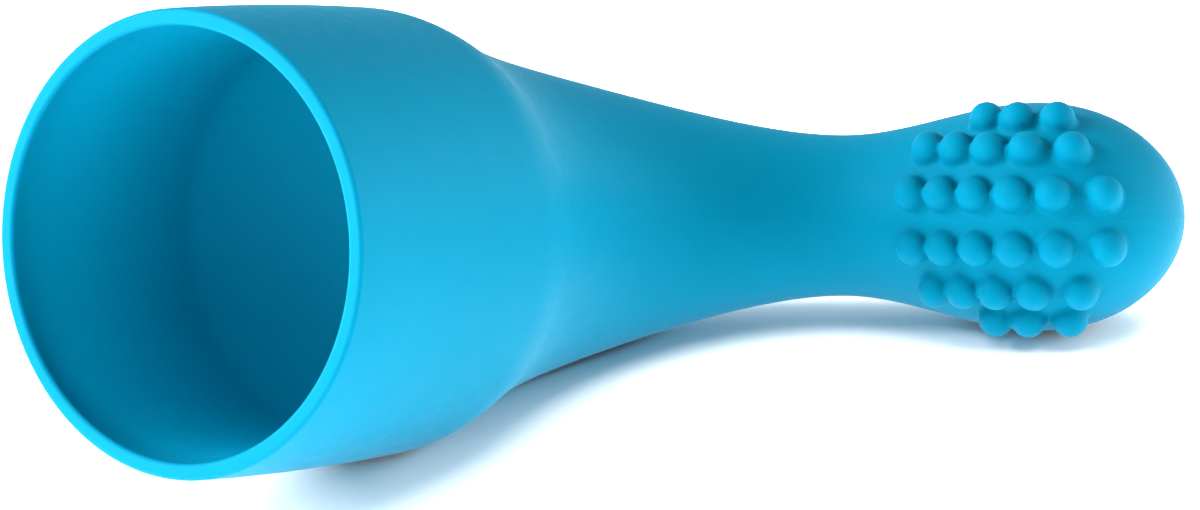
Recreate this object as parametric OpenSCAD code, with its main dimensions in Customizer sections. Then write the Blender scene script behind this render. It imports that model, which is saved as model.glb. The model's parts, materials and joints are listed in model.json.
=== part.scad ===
// Soft slip-on massager cap: one silicone moulding with a wide open socket, a solid neck that narrows
// to a flexing waist and curves round like a hook, and a rounded head with rows of small round nubs on
// the inner side of the curve. It lies on its side as it does on a table, on the shoulder edge, the root
// of the neck and the head.
// Lengths are in millimetres and angles in degrees. "Along" means measured on the centre line,
// starting at the mouth of the socket.

/* [Socket] */
// Radius of the socket's straight wall
socket_r = 27.8; // [24:0.1:32]
// Thickness of the cup's wall at the mouth
wall = 2.2; // [1.8:0.05:3]
// Length of the socket's straight wall, before its round end
socket_straight = 34; // [30:0.5:36]
// Depth of the socket on its axis, to the top of its round end
socket_depth = 50; // [46:0.5:54]
// Radius of the rounded edges of the mouth
lip_round = 0.6; // [0.3:0.05:0.8]
// Length of the mouth ring
rim_len = 3; // [2:0.5:5]

/* [Shoulder] */
// Length of the cup, from its mouth to the middle of the shoulder edge
cup_len = 41.7; // [39:0.1:46]
// How much wider the cup is at the shoulder than at the mouth, on the radius
cup_flare = 0.35; // [0:0.01:0.8]
// How far the cup's side bulges out halfway, on the radius
cup_belly = 0.46; // [0:0.01:0.6]
// Length over which the shoulder edge is rounded, to each side of its middle
shoulder_soft = 4; // [3:0.1:8]
// Slope at which the neck leaves the shoulder, as fall over length
shoulder_slope = 0.444; // [0.2:0.002:0.5]

/* [Neck] */
// How much fuller the neck is halfway between shoulder and waist than a plain easing, on the radius
neck_full = 3.32; // [0:0.02:4]
// Place of the thinnest section, along
waist_at = 122.8; // [120:0.1:126]
// Radius of the thinnest section
waist_r = 11.75; // [10:0.05:14]
// Place where the neck starts to curve, along
bend_from = 44.4; // [42:0.1:50]
// Angle the neck curves to the inner side
neck_bend = 82.2; // [0:0.2:84]
// Length over which it curves
neck_bend_len = 98.4; // [90:0.2:110]
// Place where the flexing part of the neck starts, along
flex_from = 92; // [85:0.5:96]

/* [Head] */
// Length of the whole part, along
total_len = 173.3; // [170:0.1:178]
// Place of the thickest section of the head, along
bulb_at = 152.2; // [149:0.1:155]
// Radius of the thickest section
bulb_r = 16.25; // [15:0.05:17]
// Further angle the head curves to the inner side
head_bend = 11; // [0:0.2:14]
// Place where the head's curve starts, along
head_bend_from = 136.2; // [130:0.2:140]
// Place where the throat meets the bulb, along
throat_end = 134; // [130:0.5:135]
// Place where the bulb meets the tip, along
bulb_end = 158; // [154:0.5:162]

/* [Nubs] */
// Radius of a nub
nub_r = 2.35; // [1.8:0.05:2.4]
// Depth of a nub's centre below the skin
nub_sink = 0; // [0:0.05:0.4]
// Distance of the inner rows from the middle plane
row_inner = 3.85; // [3.4:0.05:4.4]
// Distance of the middle rows from the middle plane
row_middle = 10.05; // [9.5:0.05:10.5]
// Distance of the outer rows from the middle plane
row_outer = 14.15; // [13.4:0.05:14.2]
// Place of the first nub of the inner rows, along
start_inner = 138.3; // [137:0.1:140]
// Place of the first nub of the middle rows, along
start_middle = 140.5; // [139:0.1:142]
// Place of the first nub of the outer rows, along
start_outer = 148.8; // [147:0.1:150]
// Distance from the first nub of an inner row to the second
pitch_inner = 5.53; // [5.4:0.01:5.7]
// Distance from the first nub of a middle or outer row to the second
pitch_side = 5.09; // [5.05:0.01:5.3]
// How much each further gap of an inner row is longer than the one before it
step_inner = 0.19; // [0:0.01:0.25]
// How much each further gap of a middle or outer row is longer than the one before it
step_side = 0.35; // [0:0.01:0.4]
// Lean of the nub pattern towards the tip on the lower side
row_lean = 2.8; // [0:0.1:5]
// Turn of the nub pattern about the head's centre line, upwards
row_turn = -0.15; // [-2:0.05:2]

/* [Lying] */
// Angle by which the mouth is raised when the part lies on its shoulder, neck root and head
lie_tilt = 14.47; // [0:0.01:18]
// Angle by which the lying part is rolled to its inner side
lie_roll = 3.77; // [0:0.01:8]

/* [Hidden] */
$fn = 96;
// sides of a neck or head section
SIDES = 72;
// length of one step along the centre line
STEP = 0.2;
STEPS = ceil(total_len / STEP);
rim_r = socket_r + wall;
shoulder_r = rim_r + cup_flare;
// height of the socket's round end, and its angle where the neck begins
dome = socket_depth - socket_straight;
dome_split = asin((cup_len - socket_straight) / dome);
// silicone colour of the whole part
SKIN = [0.0, 0.53, 0.74];

// ---- centre line ----

function clamp01(q) = min(max(q, 0), 1);
function ease(q) = let (t = clamp01(q)) t * t * (3 - 2 * t);

// direction of the centre line at s, turned from the socket's axis
function turn(s) = neck_bend * ease((s - bend_from) / neck_bend_len)
    + head_bend * clamp01((s - head_bend_from) / (total_len - head_bend_from));

// points of the centre line, one step apart; the inner side is -Y
line = [for (i = 0, p = [0, 0]; i <= STEPS + 1;
             p = p + STEP * [cos(turn((i + 0.5) * STEP)), -sin(turn((i + 0.5) * STEP))], i = i + 1) p];
function centre(s) = let (k = s / STEP, i = floor(k)) line[i] + (k - i) * (line[i + 1] - line[i]);

// ---- outline ----

cup_slope = (cup_flare - 4 * cup_belly) / cup_len;
function cup_outline(s) = let (q = s / cup_len) rim_r + cup_flare * q + 4 * cup_belly * q * (1 - q);
function neck_outline(s) = let (h = waist_at - cup_len, q = clamp01((s - cup_len) / h))
    shoulder_r * (1 - ease(q)) + waist_r * ease(q) - shoulder_slope * h * q * (1 - q) * (1 - q)
    + neck_full * 16 * q * q * (1 - q) * (1 - q);
function head_outline(s) = waist_r + (bulb_r - waist_r) * ease((s - waist_at) / (bulb_at - waist_at));
function tip_outline(s) = let (q = clamp01((s - bulb_at) / (total_len - bulb_at)))
    bulb_r * sqrt(1 - q * q);
// what the rounding of the shoulder edge takes off
function edge_round(s) = let (d = s - cup_len) abs(d) >= shoulder_soft ? 0 :
    -(shoulder_slope + cup_slope) * pow(shoulder_soft - abs(d), 2) / (4 * shoulder_soft);
function outline(s) = edge_round(s) + (s < cup_len ? cup_outline(s) : s < waist_at ? neck_outline(s)
    : s < bulb_at ? head_outline(s) : tip_outline(s));

// ---- points on the skin ----

// a point at angle a about the centre line; 0 is the inner side and 90 is up
function across(s, a) = let (t = turn(s)) [-sin(t) * cos(a), -cos(t) * cos(a), sin(a)];
function skin(s, a, r) = let (c = centre(s)) [c.x, c.y, 0] + r * across(s, a);
function slope(s) = (outline(s + 0.05) - outline(s - 0.05)) / 0.1;
function outwards(s, a) = let (t = turn(s), v = across(s, a) - slope(s) * [cos(t), -sin(t), 0]) v / norm(v);

// ---- nubs ----

// each row: distance from the middle plane, first place, number of nubs, first gap, growth of the gaps
ROWS = [[row_outer, start_outer, 3, pitch_side, step_side],
        [row_middle, start_middle, 5, pitch_side, step_side],
        [row_inner, start_inner, 6, pitch_inner, step_inner]];
function nub_s(row, side, i) = row[1] + row[3] * i + row[4] * i * (i - 1) / 2
    - side * row[0] * tan(row_lean);
function nub_angle(row, side, s) = side * asin(min(row[0] / (outline(s) + 0.6), 1)) + row_turn;
function nub_centre(row, side, i) = let (s = nub_s(row, side, i), a = nub_angle(row, side, s))
    skin(s, a, outline(s)) - nub_sink * outwards(s, a);

// ---- how the part lies ----

function raised(p) = [p.x * cos(lie_tilt) + p.z * sin(lie_tilt), p.y,
                      p.z * cos(lie_tilt) - p.x * sin(lie_tilt)];
function lie(p) = let (q = raised(p)) [q.x, q.y * cos(lie_roll) + q.z * sin(lie_roll),
                                       q.z * cos(lie_roll) - q.y * sin(lie_roll)];
// half the reach of a section along a lying axis, from the section's own direction
function reach(s, axis) = let (t = turn(s), d = lie([cos(t), -sin(t), 0]) * axis)
    outline(s) * sqrt(max(0, 1 - d * d));
function lying_centre(s) = let (c = centre(s)) lie([c.x, c.y, 0]);
PLACES = [for (s = [0 : 0.5 : total_len]) s];
NUBS = [for (row = ROWS, side = [-1, 1], i = [0 : row[2] - 1]) lie(nub_centre(row, side, i))];
low_z = min(min([for (s = PLACES) lying_centre(s).z - reach(s, [0, 0, 1])]),
            min([for (p = NUBS) p.z - nub_r]));
low_x = min([for (s = PLACES) lying_centre(s).x - reach(s, [1, 0, 0])]);
high_x = max([for (s = PLACES) lying_centre(s).x + reach(s, [1, 0, 0])]);
low_y = min(min([for (s = PLACES) lying_centre(s).y - reach(s, [0, 1, 0])]),
            min([for (p = NUBS) p.y - nub_r]));
high_y = max([for (s = PLACES) lying_centre(s).y + reach(s, [0, 1, 0])]);

// lays the part down, with the middle of its outline over the origin
module laid() {
    translate([-(low_x + high_x) / 2, -(low_y + high_y) / 2, -low_z])
        rotate([-lie_roll, 0, 0]) rotate([0, lie_tilt, 0]) children();
}

// turns a profile drawn as [radius, distance from the mouth] about the socket's axis
module turned() {
    rotate([0, 90, 0]) rotate_extrude() children();
}

// points of a round corner: centre, radius, first and last angle
function corner(c, r, a0, a1, n) =
    [for (i = [0 : n]) let (a = a0 + (a1 - a0) * i / n) c + r * [cos(a), sin(a)]];
// points of the socket's round end between two angles
function dome_points(a0, a1, n) = [for (i = [0 : n]) let (a = a0 + (a1 - a0) * i / n)
    [socket_r * cos(a), socket_straight + dome * sin(a)]];
// points of the cup's side between two places
function side_points(s0, s1, n) = [for (i = [0 : n]) let (s = s0 + (s1 - s0) * i / n) [outline(s), s]];

// solid length of neck or head between two places; the last section is a point when to_tip is set
module length_of_skin(s0, s1, n, to_tip = false) {
    places = [for (i = [0 : n]) to_tip ? s0 + (s1 - s0) * sin(90 * i / n) : s0 + (s1 - s0) * i / n];
    rings = to_tip ? n : n + 1;
    points = concat([for (k = [0 : rings - 1], j = [0 : SIDES - 1])
                        skin(places[k], 360 * j / SIDES, outline(places[k]))],
                    [let (c = centre(s1)) [c.x, c.y, 0]]);
    last = (rings - 1) * SIDES;
    polyhedron(points, concat(
        [[for (j = [0 : SIDES - 1]) j]],
        [for (k = [0 : rings - 2], j = [0 : SIDES - 1])
            let (a = k * SIDES + j, b = k * SIDES + (j + 1) % SIDES) each [[a, a + SIDES, b + SIDES], [a, b + SIDES, b]]],
        to_tip ? [for (j = [0 : SIDES - 1]) [last + j, rings * SIDES, last + (j + 1) % SIDES]]
               : [[for (j = [SIDES - 1 : -1 : 0]) last + j]]));
}

// one row of nubs; side is 1 for the upper rows and -1 for the lower ones
module nub_row(row, side) {
    for (i = [0 : row[2] - 1]) {
        translate(nub_centre(row, side, i)) sphere(r = nub_r, $fn = 48);
    }
}

// ---- sub-parts ----

// ring with rounded edges that takes the massager's head first
module mouth_rim() {
    color(SKIN) laid() turned() polygon(concat(
        [[socket_r, rim_len]], corner([socket_r + lip_round, lip_round], lip_round, 180, 270, 6),
        corner([rim_r - lip_round, lip_round], lip_round, 270, 360, 6),
        side_points(lip_round * 2, rim_len, 1)));
}

// thin straight wall of the socket
module cup_wall() {
    color(SKIN) laid() turned() polygon(concat(
        [[socket_r, socket_straight], [socket_r, rim_len]], side_points(rim_len, socket_straight, 11)));
}

// thick ring where the socket begins to close, with the soft shoulder edge around it
module socket_shoulder() {
    color(SKIN) laid() turned() polygon(concat(
        dome_points(dome_split, 0, 4), side_points(socket_straight, cup_len, 6)));
}

// cone that closes the socket's round end and carries the neck, up to the flexing part
module neck_root() {
    color(SKIN) laid() difference() {
        length_of_skin(cup_len, flex_from, 26);
        turned() polygon(concat([[0, cup_len - 1], [socket_r * cos(dome_split), cup_len - 1]],
                                dome_points(dome_split, 90, 12)));
    }
}

// flexing part of the neck, down to the thinnest section
module neck_waist() {
    color(SKIN) laid() length_of_skin(flex_from, waist_at, 16);
}

// start of the head, from the thinnest section
module head_throat() {
    color(SKIN) laid() length_of_skin(waist_at, throat_end, 9);
}

// thickest part of the head
module head_bulb() {
    color(SKIN) laid() length_of_skin(throat_end, bulb_end, 13);
}

// rounded end of the head
module head_tip() {
    color(SKIN) laid() length_of_skin(bulb_end, total_len, 10, true);
}

// rows of nubs from the top to the bottom
module nub_row_1() { color(SKIN) laid() nub_row(ROWS[0], 1); }
module nub_row_2() { color(SKIN) laid() nub_row(ROWS[1], 1); }
module nub_row_3() { color(SKIN) laid() nub_row(ROWS[2], 1); }
module nub_row_4() { color(SKIN) laid() nub_row(ROWS[2], -1); }
module nub_row_5() { color(SKIN) laid() nub_row(ROWS[1], -1); }
module nub_row_6() { color(SKIN) laid() nub_row(ROWS[0], -1); }

mouth_rim();
cup_wall();
socket_shoulder();
neck_root();
neck_waist();
head_throat();
head_bulb();
head_tip();
nub_row_1();
nub_row_2();
nub_row_3();
nub_row_4();
nub_row_5();
nub_row_6();
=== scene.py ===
"""Soft slip-on massager cap: its silicone skin, a pale floor, soft light and the camera."""
import json
import math

import bpy
import numpy as np
from mathutils import Matrix, Vector


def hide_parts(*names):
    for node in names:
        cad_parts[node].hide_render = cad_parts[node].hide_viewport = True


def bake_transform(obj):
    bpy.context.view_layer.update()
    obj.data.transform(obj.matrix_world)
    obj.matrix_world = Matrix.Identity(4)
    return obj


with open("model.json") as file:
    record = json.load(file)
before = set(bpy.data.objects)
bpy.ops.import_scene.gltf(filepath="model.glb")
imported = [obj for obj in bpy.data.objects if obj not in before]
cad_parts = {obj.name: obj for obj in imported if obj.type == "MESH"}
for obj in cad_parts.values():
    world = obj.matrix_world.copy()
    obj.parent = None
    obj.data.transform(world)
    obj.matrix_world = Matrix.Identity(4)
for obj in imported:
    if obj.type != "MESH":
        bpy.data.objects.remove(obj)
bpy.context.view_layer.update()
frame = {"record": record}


# ---- the design's sizes, in millimetres and degrees, as in the part's source ----
SOCKET_R, SOCKET_STRAIGHT, SOCKET_DEPTH = 27.8, 34.0, 50.0  # the last is with the round end
WALL, LIP = 2.2, 0.6  # the cup's wall, and the radius of the rim's two edges
CUP_LEN, FLARE, BELLY = 41.7, 0.35, 0.46  # how far the cup's side opens and bulges
SOFT, SHOULDER_SLOPE = 4.0, 0.444  # reach of the shoulder's rounding, and the slope past it
NECK_FULL, WAIST_AT, WAIST_R = 3.32, 122.8, 11.75
BULB_AT, BULB_R, LENGTH = 152.2, 16.25, 173.3
BEND_FROM, BEND_LEN, NECK_BEND = 44.4, 98.4, 82.2
HEAD_FROM, HEAD_BEND = 136.2, 11.0
ROW_LEAN, ROW_TURN = 2.8, -0.15
ROW_LEVEL = 0.6  # height above the skin at which a row's distance from the middle plane is measured
# each row: distance from the middle plane, first place, number of nubs, first gap, growth of the gaps
ROWS = ((14.15, 148.8, 3, 5.09, 0.35), (10.05, 140.5, 5, 5.09, 0.35), (3.85, 138.3, 6, 5.53, 0.19))
NUB_R, NUB_LIFT = 2.5, 0.45
LIE_TILT, LIE_ROLL = 14.47, 3.77
STEP = 0.2  # between points of the centre line
MM = 0.001

RIM_R = SOCKET_R + WALL


def ease(q):
    t = np.clip(q, 0.0, 1.0)
    return t * t * (3.0 - 2.0 * t)


def turn(s):
    """Direction of the centre line at s, in radians from the socket's axis."""
    return np.radians(
        NECK_BEND * ease((s - BEND_FROM) / BEND_LEN)
        + HEAD_BEND * np.clip((s - HEAD_FROM) / (LENGTH - HEAD_FROM), 0.0, 1.0)
    )


_mid = (np.arange(int(math.ceil(LENGTH / STEP)) + 1) + 0.5) * STEP
LINE = np.concatenate([
    [[0.0, 0.0]],
    np.cumsum(STEP * np.stack([np.cos(turn(_mid)), -np.sin(turn(_mid))], 1), 0),
])
LINE_S = np.arange(len(LINE)) * STEP


def centre(s):
    return np.stack([np.interp(s, LINE_S, LINE[:, 0]), np.interp(s, LINE_S, LINE[:, 1]), 0 * s], -1)


CUP_SLOPE = (FLARE - 4 * BELLY) / CUP_LEN


def outline(s):
    """Radius of the skin at s."""
    q = s / CUP_LEN
    cup = RIM_R + FLARE * q + 4 * BELLY * q * (1 - q)
    h = WAIST_AT - CUP_LEN
    q = np.clip((s - CUP_LEN) / h, 0, 1)
    neck = ((RIM_R + FLARE) * (1 - ease(q)) + WAIST_R * ease(q) - SHOULDER_SLOPE * h * q * (1 - q) ** 2
            + NECK_FULL * 16 * (q * (1 - q)) ** 2)
    head = WAIST_R + (BULB_R - WAIST_R) * ease((s - WAIST_AT) / (BULB_AT - WAIST_AT))
    q = np.clip((s - BULB_AT) / (LENGTH - BULB_AT), 0, 1)
    tip = BULB_R * np.sqrt(1 - q * q)
    d = np.clip(SOFT - np.abs(s - CUP_LEN), 0, None)
    rounding = -(SHOULDER_SLOPE + CUP_SLOPE) * d * d / (4 * SOFT)
    past_waist = np.where(s < BULB_AT, head, tip)
    return rounding + np.where(s < CUP_LEN, cup, np.where(s < WAIST_AT, neck, past_waist))


def across(s, a):
    """Unit vector from the centre line at angle a: 0 is the inner side and a quarter turn is up."""
    t = turn(s)
    return np.stack([-np.sin(t) * np.cos(a), -np.cos(t) * np.cos(a), np.sin(a) + 0 * t], -1)


def skin_point(s, a):
    return centre(s) + outline(s)[..., None] * across(s, a)


def outwards(s, a):
    slope = (outline(s + 0.05) - outline(s - 0.05)) / 0.1
    t = turn(s)
    v = across(s, a) - slope[..., None] * np.stack([np.cos(t), -np.sin(t), 0 * t], -1)
    return v / np.linalg.norm(v, axis=-1, keepdims=True)


def nub_centres():
    """Middles of all the nubs, each NUB_LIFT above the bare skin."""
    found = []
    lean = math.tan(math.radians(ROW_LEAN))
    for off_plane, start, count, gap, growth in ROWS:
        for side in (1, -1):
            i = np.arange(count)
            s = start + gap * i + growth * i * (i - 1) / 2 - side * off_plane * lean
            a = side * np.arcsin(np.minimum(off_plane / (outline(s) + ROW_LEVEL), 1))
            a += math.radians(ROW_TURN)
            found.append(skin_point(s, a) + NUB_LIFT * outwards(s, a))
    return np.concatenate(found)


NUBS = nub_centres()

# ---- from the design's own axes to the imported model's ----
_socket = next(m for m in frame["record"]["mounts"] if m["name"] == "socket")
MOUTH = np.array(_socket["pos_m"]) + np.array(_socket["axis"]) * (SOCKET_STRAIGHT / 2 * MM)


def lie(p):
    """A direction of the design, turned as the part lies: mouth raised, then rolled to its inner side."""
    t, u = math.radians(LIE_TILT), math.radians(LIE_ROLL)
    x = p[..., 0] * math.cos(t) + p[..., 2] * math.sin(t)
    z = p[..., 2] * math.cos(t) - p[..., 0] * math.sin(t)
    y = p[..., 1]
    return np.stack([x, y * math.cos(u) + z * math.sin(u), z * math.cos(u) - y * math.sin(u)], -1)


def laid(p):
    """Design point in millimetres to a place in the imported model, in metres."""
    return lie(p) * MM + MOUTH


# ---- the skin: one tube of rings from the socket's end, round the mouth and along to the tip ----
SIDES = 264
CROWD = 0.4  # how much closer the points stand on the inner side, where the nubs are
HEAD_START = 131.0  # from here on the rings stand closer
NEAR_NUBS = 3.2  # points this close to a nub's surface are moved
FILLET = 0.9
LOWEST, HIGHEST = -0.2, NUB_R + 1.0  # heights between which the raised skin is looked for
SEARCH_STEPS, SPREAD_PASSES, FOOT_PASSES = 30, 16, 3
SLIDE = 0.6  # share of the way that a point moves to the middle of its neighbours in one pass
PROBE = 0.01  # step for slopes of the distance field
FOOT_STEP = 0.8  # share of the way that a point's foot moves along the centre line in one go
STEEPEST, FLATTEST = 25.0, 0.3  # limits for squared slopes, which keep the steps small
# numbers of rings along each stretch
DOME_RINGS, BORE_RINGS, LIP_RINGS, SIDE_RINGS, SHOULDER_RINGS = 26, 16, 7, 13, 8
NECK_RINGS, HEAD_RINGS, TIP_RINGS = 63, 70, 91


def past(start, stop, count):
    """Evenly spaced places after start, the last of them at stop."""
    return np.linspace(start, stop, count + 1)[1:]


def arc(cx, cs, r, a0, a1, n):
    """Points [radius, s] of a round edge, from angle a0 to angle a1."""
    a = np.radians(np.linspace(a0, a1, n + 1))
    return np.stack([cx + r * np.cos(a), cs + r * np.sin(a)], -1)


def cup_profile():
    """Points [radius, s] from near the middle of the socket's end, round the mouth, to the shoulder."""
    a = np.radians(past(90, 0, DOME_RINGS))
    dome_s = SOCKET_STRAIGHT + (SOCKET_DEPTH - SOCKET_STRAIGHT) * np.sin(a)
    dome = np.stack([SOCKET_R * np.cos(a), dome_s], -1)
    bore = np.stack([np.full(BORE_RINGS, SOCKET_R), past(SOCKET_STRAIGHT, LIP, BORE_RINGS)], -1)
    lip_in = arc(SOCKET_R + LIP, LIP, LIP, 180, 270, LIP_RINGS)[1:]
    lip_out = arc(RIM_R - LIP, LIP, LIP, 270, 360, LIP_RINGS)
    side_end = CUP_LEN - SOFT
    s = np.concatenate([past(LIP, side_end, SIDE_RINGS), past(side_end, CUP_LEN, SHOULDER_RINGS)])
    return np.concatenate([dome, bore, lip_in, lip_out, np.stack([outline(s), s], -1)])


def ring_angles():
    """Angles of a ring's points, crowded towards the inner side at angle 0."""
    u = np.arange(SIDES) * 2 * np.pi / SIDES
    return u - CROWD * np.sin(u)


def union(f, p):
    """Distance of points from the nubs joined to a body at distance f, with a soft fillet."""
    d = np.linalg.norm(p[:, None] - NUBS[None], axis=2) - NUB_R
    for k in range(d.shape[1]):
        mix = np.clip(0.5 + 0.5 * (f - d[:, k]) / FILLET, 0, 1)
        f = f + (d[:, k] - f) * mix - FILLET * mix * (1 - mix)
    return f


def body_distance(p, s):
    """Distance from the bare skin, and the better foot point s on the centre line."""
    for _ in range(FOOT_PASSES):
        t = turn(s)
        along = ((p - centre(s)) * np.stack([np.cos(t), -np.sin(t), 0 * t], -1)).sum(-1)
        s = np.clip(s + along * FOOT_STEP, HEAD_START - 5.0, LENGTH)
    t = turn(s)
    tangent = np.stack([np.cos(t), -np.sin(t), 0 * t], -1)
    off = p - centre(s)
    radial = np.linalg.norm(off - (off * tangent).sum(-1)[:, None] * tangent, axis=1)
    slope = (outline(np.minimum(s + 0.05, LENGTH)) - outline(s - 0.05)) / 0.1
    return (radial - outline(s)) / np.sqrt(1 + np.minimum(slope * slope, STEEPEST)), s


def skin_field(p, s):
    """Distance from the skin with its nubs, and the foot points."""
    f, s = body_distance(p, s)
    return union(f, p), s


def field_gradient(p, s, f0):
    g = np.empty_like(p)
    for axis in range(3):
        q = p.copy()
        q[:, axis] += PROBE
        g[:, axis] = (skin_field(q, s)[0] - f0) / PROBE
    return g


def raise_nubs(grid, normals, places, rings):
    """Lifts the skin over the nubs, then lets its points slide until they are evenly spread."""
    near = np.linalg.norm(grid[:, None] - NUBS[None], axis=2).min(1) < NUB_R + NEAR_NUBS
    p0, n0 = grid[near], normals[near]
    lo, hi = np.full(len(p0), LOWEST), np.full(len(p0), HIGHEST)
    for _ in range(SEARCH_STEPS):
        mid = (lo + hi) / 2
        inside = union(mid, p0 + mid[:, None] * n0) < 0
        lo, hi = np.where(inside, mid, lo), np.where(inside, hi, mid)
    grid[near] += ((lo + hi) / 2)[:, None] * n0
    where = np.nonzero(near)[0]
    r, c = where // SIDES, where % SIDES
    around = np.stack([(r - 1) * SIDES + c, np.minimum(r + 1, rings - 1) * SIDES + c,
                       r * SIDES + (c + 1) % SIDES, r * SIDES + (c - 1) % SIDES], 1)
    foot = places[where]
    for _ in range(SPREAD_PASSES):
        p = grid[where]
        f0, foot = skin_field(p, foot)
        g = field_gradient(p, foot, f0)
        n = g / np.linalg.norm(g, axis=1, keepdims=True)
        mean = grid[around].mean(1) - p
        mean -= (mean * n).sum(1)[:, None] * n
        p = p + SLIDE * mean
        f0, foot = skin_field(p, foot)
        grid[where] = p - (f0 / np.maximum((g * g).sum(1), FLATTEST))[:, None] * g
    f0, foot = skin_field(grid[where], foot)
    g = field_gradient(grid[where], foot, f0)
    normals[where] = g / np.linalg.norm(g, axis=1, keepdims=True)


def spun(r, s, a):
    """A ring of points, or of directions, round the socket's axis."""
    return np.stack([np.full_like(a, s), -r * np.cos(a), r * np.sin(a)], -1)


def build_skin():
    """Points, four-sided and three-sided faces, and outward directions of the whole skin."""
    a = ring_angles()
    profile = cup_profile()
    edge = np.gradient(profile, axis=0)
    out = np.stack([edge[:, 1], -edge[:, 0]], -1)
    out /= np.linalg.norm(out, axis=1, keepdims=True)
    out[np.isclose(profile[:, 1], 0.0)] = [0.0, -1.0]
    last = outwards(np.array([CUP_LEN]), np.array([0.0]))[0]
    out[-1] = [-last[1], last[0]]
    cup = np.stack([spun(r, s, a) for r, s in profile])
    cup_n = np.stack([spun(r, s, a) for r, s in out])
    places = np.concatenate([
        past(CUP_LEN, CUP_LEN + SOFT, SHOULDER_RINGS),
        past(CUP_LEN + SOFT, HEAD_START, NECK_RINGS),
        past(HEAD_START, BULB_AT, HEAD_RINGS),
        BULB_AT + (LENGTH - BULB_AT) * np.sin(past(0, np.pi / 2, TIP_RINGS + 1))[:-1],
    ])
    ss, aa = np.meshgrid(places, a, indexing="ij")
    body = skin_point(ss, aa).reshape(-1, 3)
    body_n = outwards(ss, aa).reshape(-1, 3)
    raise_nubs(body, body_n, ss.reshape(-1), len(places))
    hub, tip = [[SOCKET_DEPTH, 0.0, 0.0]], centre(np.array([LENGTH]))
    tip_turn = float(turn(LENGTH))
    points = np.concatenate([cup.reshape(-1, 3), body, hub, tip])
    normals = np.concatenate([cup_n.reshape(-1, 3), body_n, [[-1.0, 0.0, 0.0]],
                              [[math.cos(tip_turn), -math.sin(tip_turn), 0.0]]])
    rings = len(profile) + len(places)
    k = np.arange(rings - 1)[:, None] * SIDES
    j = np.arange(SIDES)[None, :]
    n = (j + 1) % SIDES
    quads = np.stack([k + j, k + SIDES + j, k + SIDES + n, k + n], -1).reshape(-1, 4)
    hub_at, last_ring, tip_at = rings * SIDES, (rings - 1) * SIDES, rings * SIDES + 1
    tris = [(hub_at, j, (j + 1) % SIDES) for j in range(SIDES)]
    tris += [(last_ring + j, tip_at, last_ring + (j + 1) % SIDES) for j in range(SIDES)]
    return points, quads, tris, normals


def make_piece(name, points, quads, tris, normals):
    """A mesh object from design points; its rest places in millimetres are kept for the material."""
    mesh = bpy.data.meshes.new(name)
    faces = [tuple(int(i) for i in f) for f in quads] + [tuple(int(i) for i in f) for f in tris]
    mesh.from_pydata([tuple(p) for p in laid(points)], [], faces)
    mesh.shade_smooth()
    rest = mesh.attributes.new("rest", "FLOAT_VECTOR", "POINT")
    rest.data.foreach_set("vector", points.astype(np.float32).ravel())
    mesh.normals_split_custom_set_from_vertices([tuple(n) for n in lie(normals)])
    obj = bpy.data.objects.new(name, mesh)
    bpy.context.scene.collection.objects.link(obj)
    return obj


skin = make_piece("skin", *build_skin())


# ---- materials ----
DEEP_BLUE, PALE_BLUE = (0.0, 0.122, 0.205, 1), (0.0, 0.130, 0.218, 1)
SMOOTHER, ROUGHER = (0.56, 0.56, 0.56, 1), (0.64, 0.64, 0.64, 1)
GREY, WHITE = (0.92, 0.92, 0.92, 1), (0.94, 0.94, 0.94, 1)
LINE_INNER, LINE_OUTER = 0.05, 0.32  # half widths of the parting line, in millimetres
LINE_FROM, LINE_FULL = 70.0, 100.0  # the parting line fades in between these places


def set_inputs(node, values):
    for name, value in values.items():
        node.inputs[name].default_value = value


def noise(nt, vector, scale, detail, rough=0.5):
    n = nt.nodes.new("ShaderNodeTexNoise")
    set_inputs(n, {"Scale": scale, "Detail": detail, "Roughness": rough})
    nt.links.new(vector, n.inputs["Vector"])
    return n.outputs["Fac"]


def ramp(nt, source, low, high):
    """Colour that runs from low, where the source is 0.3, to high, where it is 0.7."""
    r = nt.nodes.new("ShaderNodeValToRGB")
    nt.links.new(source, r.inputs[0])
    for stop, place, colour in zip(r.color_ramp.elements, (0.3, 0.7), (low, high)):
        stop.position = place
        stop.color = colour
    return r.outputs[0]


def bump(nt, height, strength, distance, under=None):
    b = nt.nodes.new("ShaderNodeBump")
    set_inputs(b, {"Strength": strength, "Distance": distance})
    nt.links.new(height, b.inputs["Height"])
    if under is not None:
        nt.links.new(under, b.inputs["Normal"])
    return b.outputs[0]


def math_node(nt, operation, *sources):
    m = nt.nodes.new("ShaderNodeMath")
    m.operation = operation
    for source, socket in zip(sources, m.inputs):
        nt.links.new(source, socket)
    return m.outputs[0]


def parting_line(nt, place):
    """Height of the mould's faint parting line, along the middle plane of neck and head."""
    axes = nt.nodes.new("ShaderNodeSeparateXYZ")
    nt.links.new(place, axes.inputs[0])
    ridge = nt.nodes.new("ShaderNodeMapRange")
    ridge.interpolation_type = "SMOOTHSTEP"
    set_inputs(ridge, {"From Min": LINE_INNER, "From Max": LINE_OUTER, "To Min": 1.0, "To Max": 0.0})
    nt.links.new(math_node(nt, "ABSOLUTE", axes.outputs["Z"]), ridge.inputs["Value"])
    past_cup = nt.nodes.new("ShaderNodeMapRange")
    set_inputs(past_cup, {"From Min": LINE_FROM, "From Max": LINE_FULL})
    nt.links.new(axes.outputs["X"], past_cup.inputs["Value"])
    return math_node(nt, "MULTIPLY", ridge.outputs[0], past_cup.outputs[0])


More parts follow.
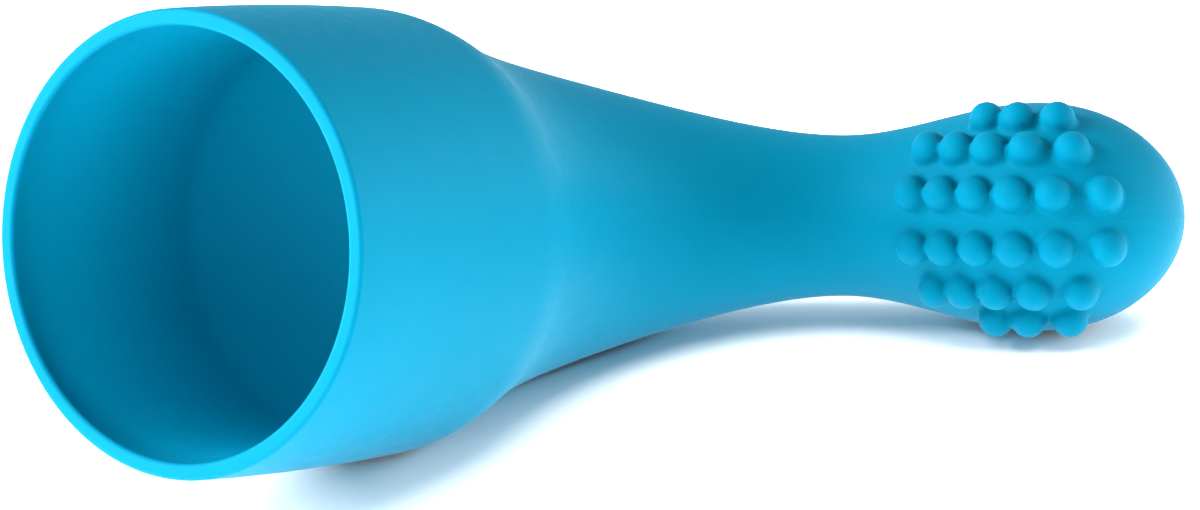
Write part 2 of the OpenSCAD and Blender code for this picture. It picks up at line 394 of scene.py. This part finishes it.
def silicone():
    mat = bpy.data.materials.new("silicone")
    mat.use_nodes = True
    nt = mat.node_tree
    bsdf = nt.nodes["Principled BSDF"]
    rest = nt.nodes.new("ShaderNodeAttribute")
    rest.attribute_name = "rest"
    place = rest.outputs["Vector"]
    tint = ramp(nt, noise(nt, place, scale=0.03, detail=3.0), DEEP_BLUE, PALE_BLUE)
    nt.links.new(tint, bsdf.inputs["Base Color"])
    gloss = ramp(nt, noise(nt, place, scale=0.5, detail=4.0), SMOOTHER, ROUGHER)
    nt.links.new(gloss, bsdf.inputs["Roughness"])
    grain = bump(nt, noise(nt, place, scale=6.0, detail=3.0, rough=0.6), strength=0.25, distance=0.00002)
    waves = bump(nt, noise(nt, place, scale=0.12, detail=2.0), strength=0.3, distance=0.0004, under=grain)
    line = bump(nt, parting_line(nt, place), strength=0.5, distance=0.00005, under=waves)
    nt.links.new(line, bsdf.inputs["Normal"])
    set_inputs(bsdf, {"IOR": 1.13, "Specular IOR Level": 0.5, "Specular Tint": (0.2, 0.8, 1.0, 1.0),
                      "Subsurface Weight": 0.2, "Subsurface Radius": (0.2, 0.7, 1.0),
                      "Subsurface Scale": 0.003})
    return mat


def paper():
    mat = bpy.data.materials.new("paper")
    mat.use_nodes = True
    nt = mat.node_tree
    bsdf = nt.nodes["Principled BSDF"]
    mottle = nt.nodes.new("ShaderNodeTexNoise")
    mottle.inputs["Scale"].default_value = 40.0
    shade = nt.nodes.new("ShaderNodeValToRGB")
    nt.links.new(mottle.outputs["Fac"], shade.inputs[0])
    for stop, colour in zip(shade.color_ramp.elements, (GREY, WHITE)):
        stop.color = colour
    nt.links.new(shade.outputs[0], bsdf.inputs["Base Color"])
    set_inputs(bsdf, {"Roughness": 0.6, "Specular IOR Level": 0.2})
    return mat


skin.data.materials.append(silicone())
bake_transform(skin)
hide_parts("mouth_rim", "cup_wall", "socket_shoulder", "neck_root", "neck_waist",
            "head_throat", "head_bulb", "head_tip", *[f"nub_row_{i}" for i in range(1, 7)])

# ---- floor and surroundings ----
FLOOR_HALF = 4.0
WORLD_STRENGTH = 0.9

floor_mesh = bpy.data.meshes.new("floor")
corners = [(-FLOOR_HALF, -FLOOR_HALF, 0), (FLOOR_HALF, -FLOOR_HALF, 0),
           (FLOOR_HALF, FLOOR_HALF, 0), (-FLOOR_HALF, FLOOR_HALF, 0)]
floor_mesh.from_pydata(corners, [], [(0, 1, 2, 3)])
floor_mesh.materials.append(paper())
floor = bpy.data.objects.new("floor", floor_mesh)
bpy.context.scene.collection.objects.link(floor)

world = bpy.data.worlds.new("studio")
bpy.context.scene.world = world
world.use_nodes = True
world.node_tree.nodes["Background"].inputs["Color"].default_value = (1, 1, 1, 1)
world.node_tree.nodes["Background"].inputs["Strength"].default_value = WORLD_STRENGTH


# ---- camera: the photograph's viewing angle, in degrees and metres ----
CAM_AZ, CAM_EL, CAM_ROLL, CAM_LENS = -55.782, 17.046, 5.737, 103.83
AIM = Vector((0.0, 0.0, 0.030))
AIM_RIGHT, AIM_DOWN, CAM_DISTANCE = 0.002455, -0.007087, 0.470647


def place_camera():
    az, el, roll = (math.radians(v) for v in (CAM_AZ, CAM_EL, CAM_ROLL))
    forward = Vector((-math.sin(az) * math.cos(el), math.cos(az) * math.cos(el), -math.sin(el)))
    right = Vector((math.cos(az), math.sin(az), 0.0))
    down = forward.cross(right)
    r2 = right * math.cos(roll) + down * math.sin(roll)
    d2 = down * math.cos(roll) - right * math.sin(roll)
    eye = AIM - r2 * AIM_RIGHT - d2 * AIM_DOWN - forward * CAM_DISTANCE
    cam = bpy.data.cameras.new("camera")
    cam.lens = CAM_LENS
    cam.sensor_width = 36.0
    cam.sensor_fit = "HORIZONTAL"
    cam.clip_start, cam.clip_end = 0.01, 50.0
    o = bpy.data.objects.new("camera", cam)
    bpy.context.scene.collection.objects.link(o)
    m = Matrix((r2, -d2, -forward)).transposed().to_4x4()
    m.translation = eye
    o.matrix_world = m
    bpy.context.scene.camera = o
    return forward


view_forward = place_camera()

# ---- light ----
PART_MIDDLE = (0, 0, 0.02)
GLOW_HEIGHT = 0.0008


def area(name, place, aim, size, power):
    light = bpy.data.lights.new(name, "AREA")
    light.shape = "RECTANGLE"
    light.size, light.size_y = size
    light.energy = power
    o = bpy.data.objects.new(name, light)
    bpy.context.scene.collection.objects.link(o)
    o.location = place
    o.rotation_euler = (Vector(aim) - Vector(place)).to_track_quat("-Z", "Y").to_euler()
    return o


def from_view(right, up, towards):
    """A place in metres from the middle of the part: to the camera's right, up, and towards it."""
    flat = Vector((view_forward.x, view_forward.y, 0)).normalized()
    side = Vector((flat.y, -flat.x, 0))
    return AIM + side * right + Vector((0, 0, 1)) * up - flat * towards


def on_axis(s):
    """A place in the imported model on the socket's axis, s millimetres from the mouth."""
    return tuple(laid(np.array([s, 0.0, 0.0])))


area("left", from_view(right=-1.05, up=0.60, towards=0.12), PART_MIDDLE, size=(0.7, 0.6), power=50)
area("left_front", from_view(right=-1.05, up=0.12, towards=0.90), PART_MIDDLE, size=(0.5, 0.4), power=9)
area("right", from_view(right=1.2, up=0.25, towards=-0.05), PART_MIDDLE, size=(0.9, 0.7), power=18)

# a wide light for the floor alone, so that only the places next to the part stay in shadow
floor_only = bpy.data.collections.new("floor_only")
floor_only.objects.link(floor)
paper_light = area("paper_light", (0, 0, 1.5), (0, 0, 0), size=(2.0, 2.0), power=85)
paper_light.light_linking.receiver_collection = floor_only

# the white table's own glow on the part's underside
glow = area("floor_glow", (0, 0, GLOW_HEIGHT), (0, 0, 1), size=(0.6, 0.6), power=1.3)
glow.visible_camera = False

# a faint light in the mouth, for the light that the thin wall lets through
mouth_light = area("mouth_light", on_axis(1.0), on_axis(40.0), size=(0.034, 0.034), power=0.015)
mouth_light.visible_camera = False

bpy.context.scene.view_settings.view_transform = "Standard"
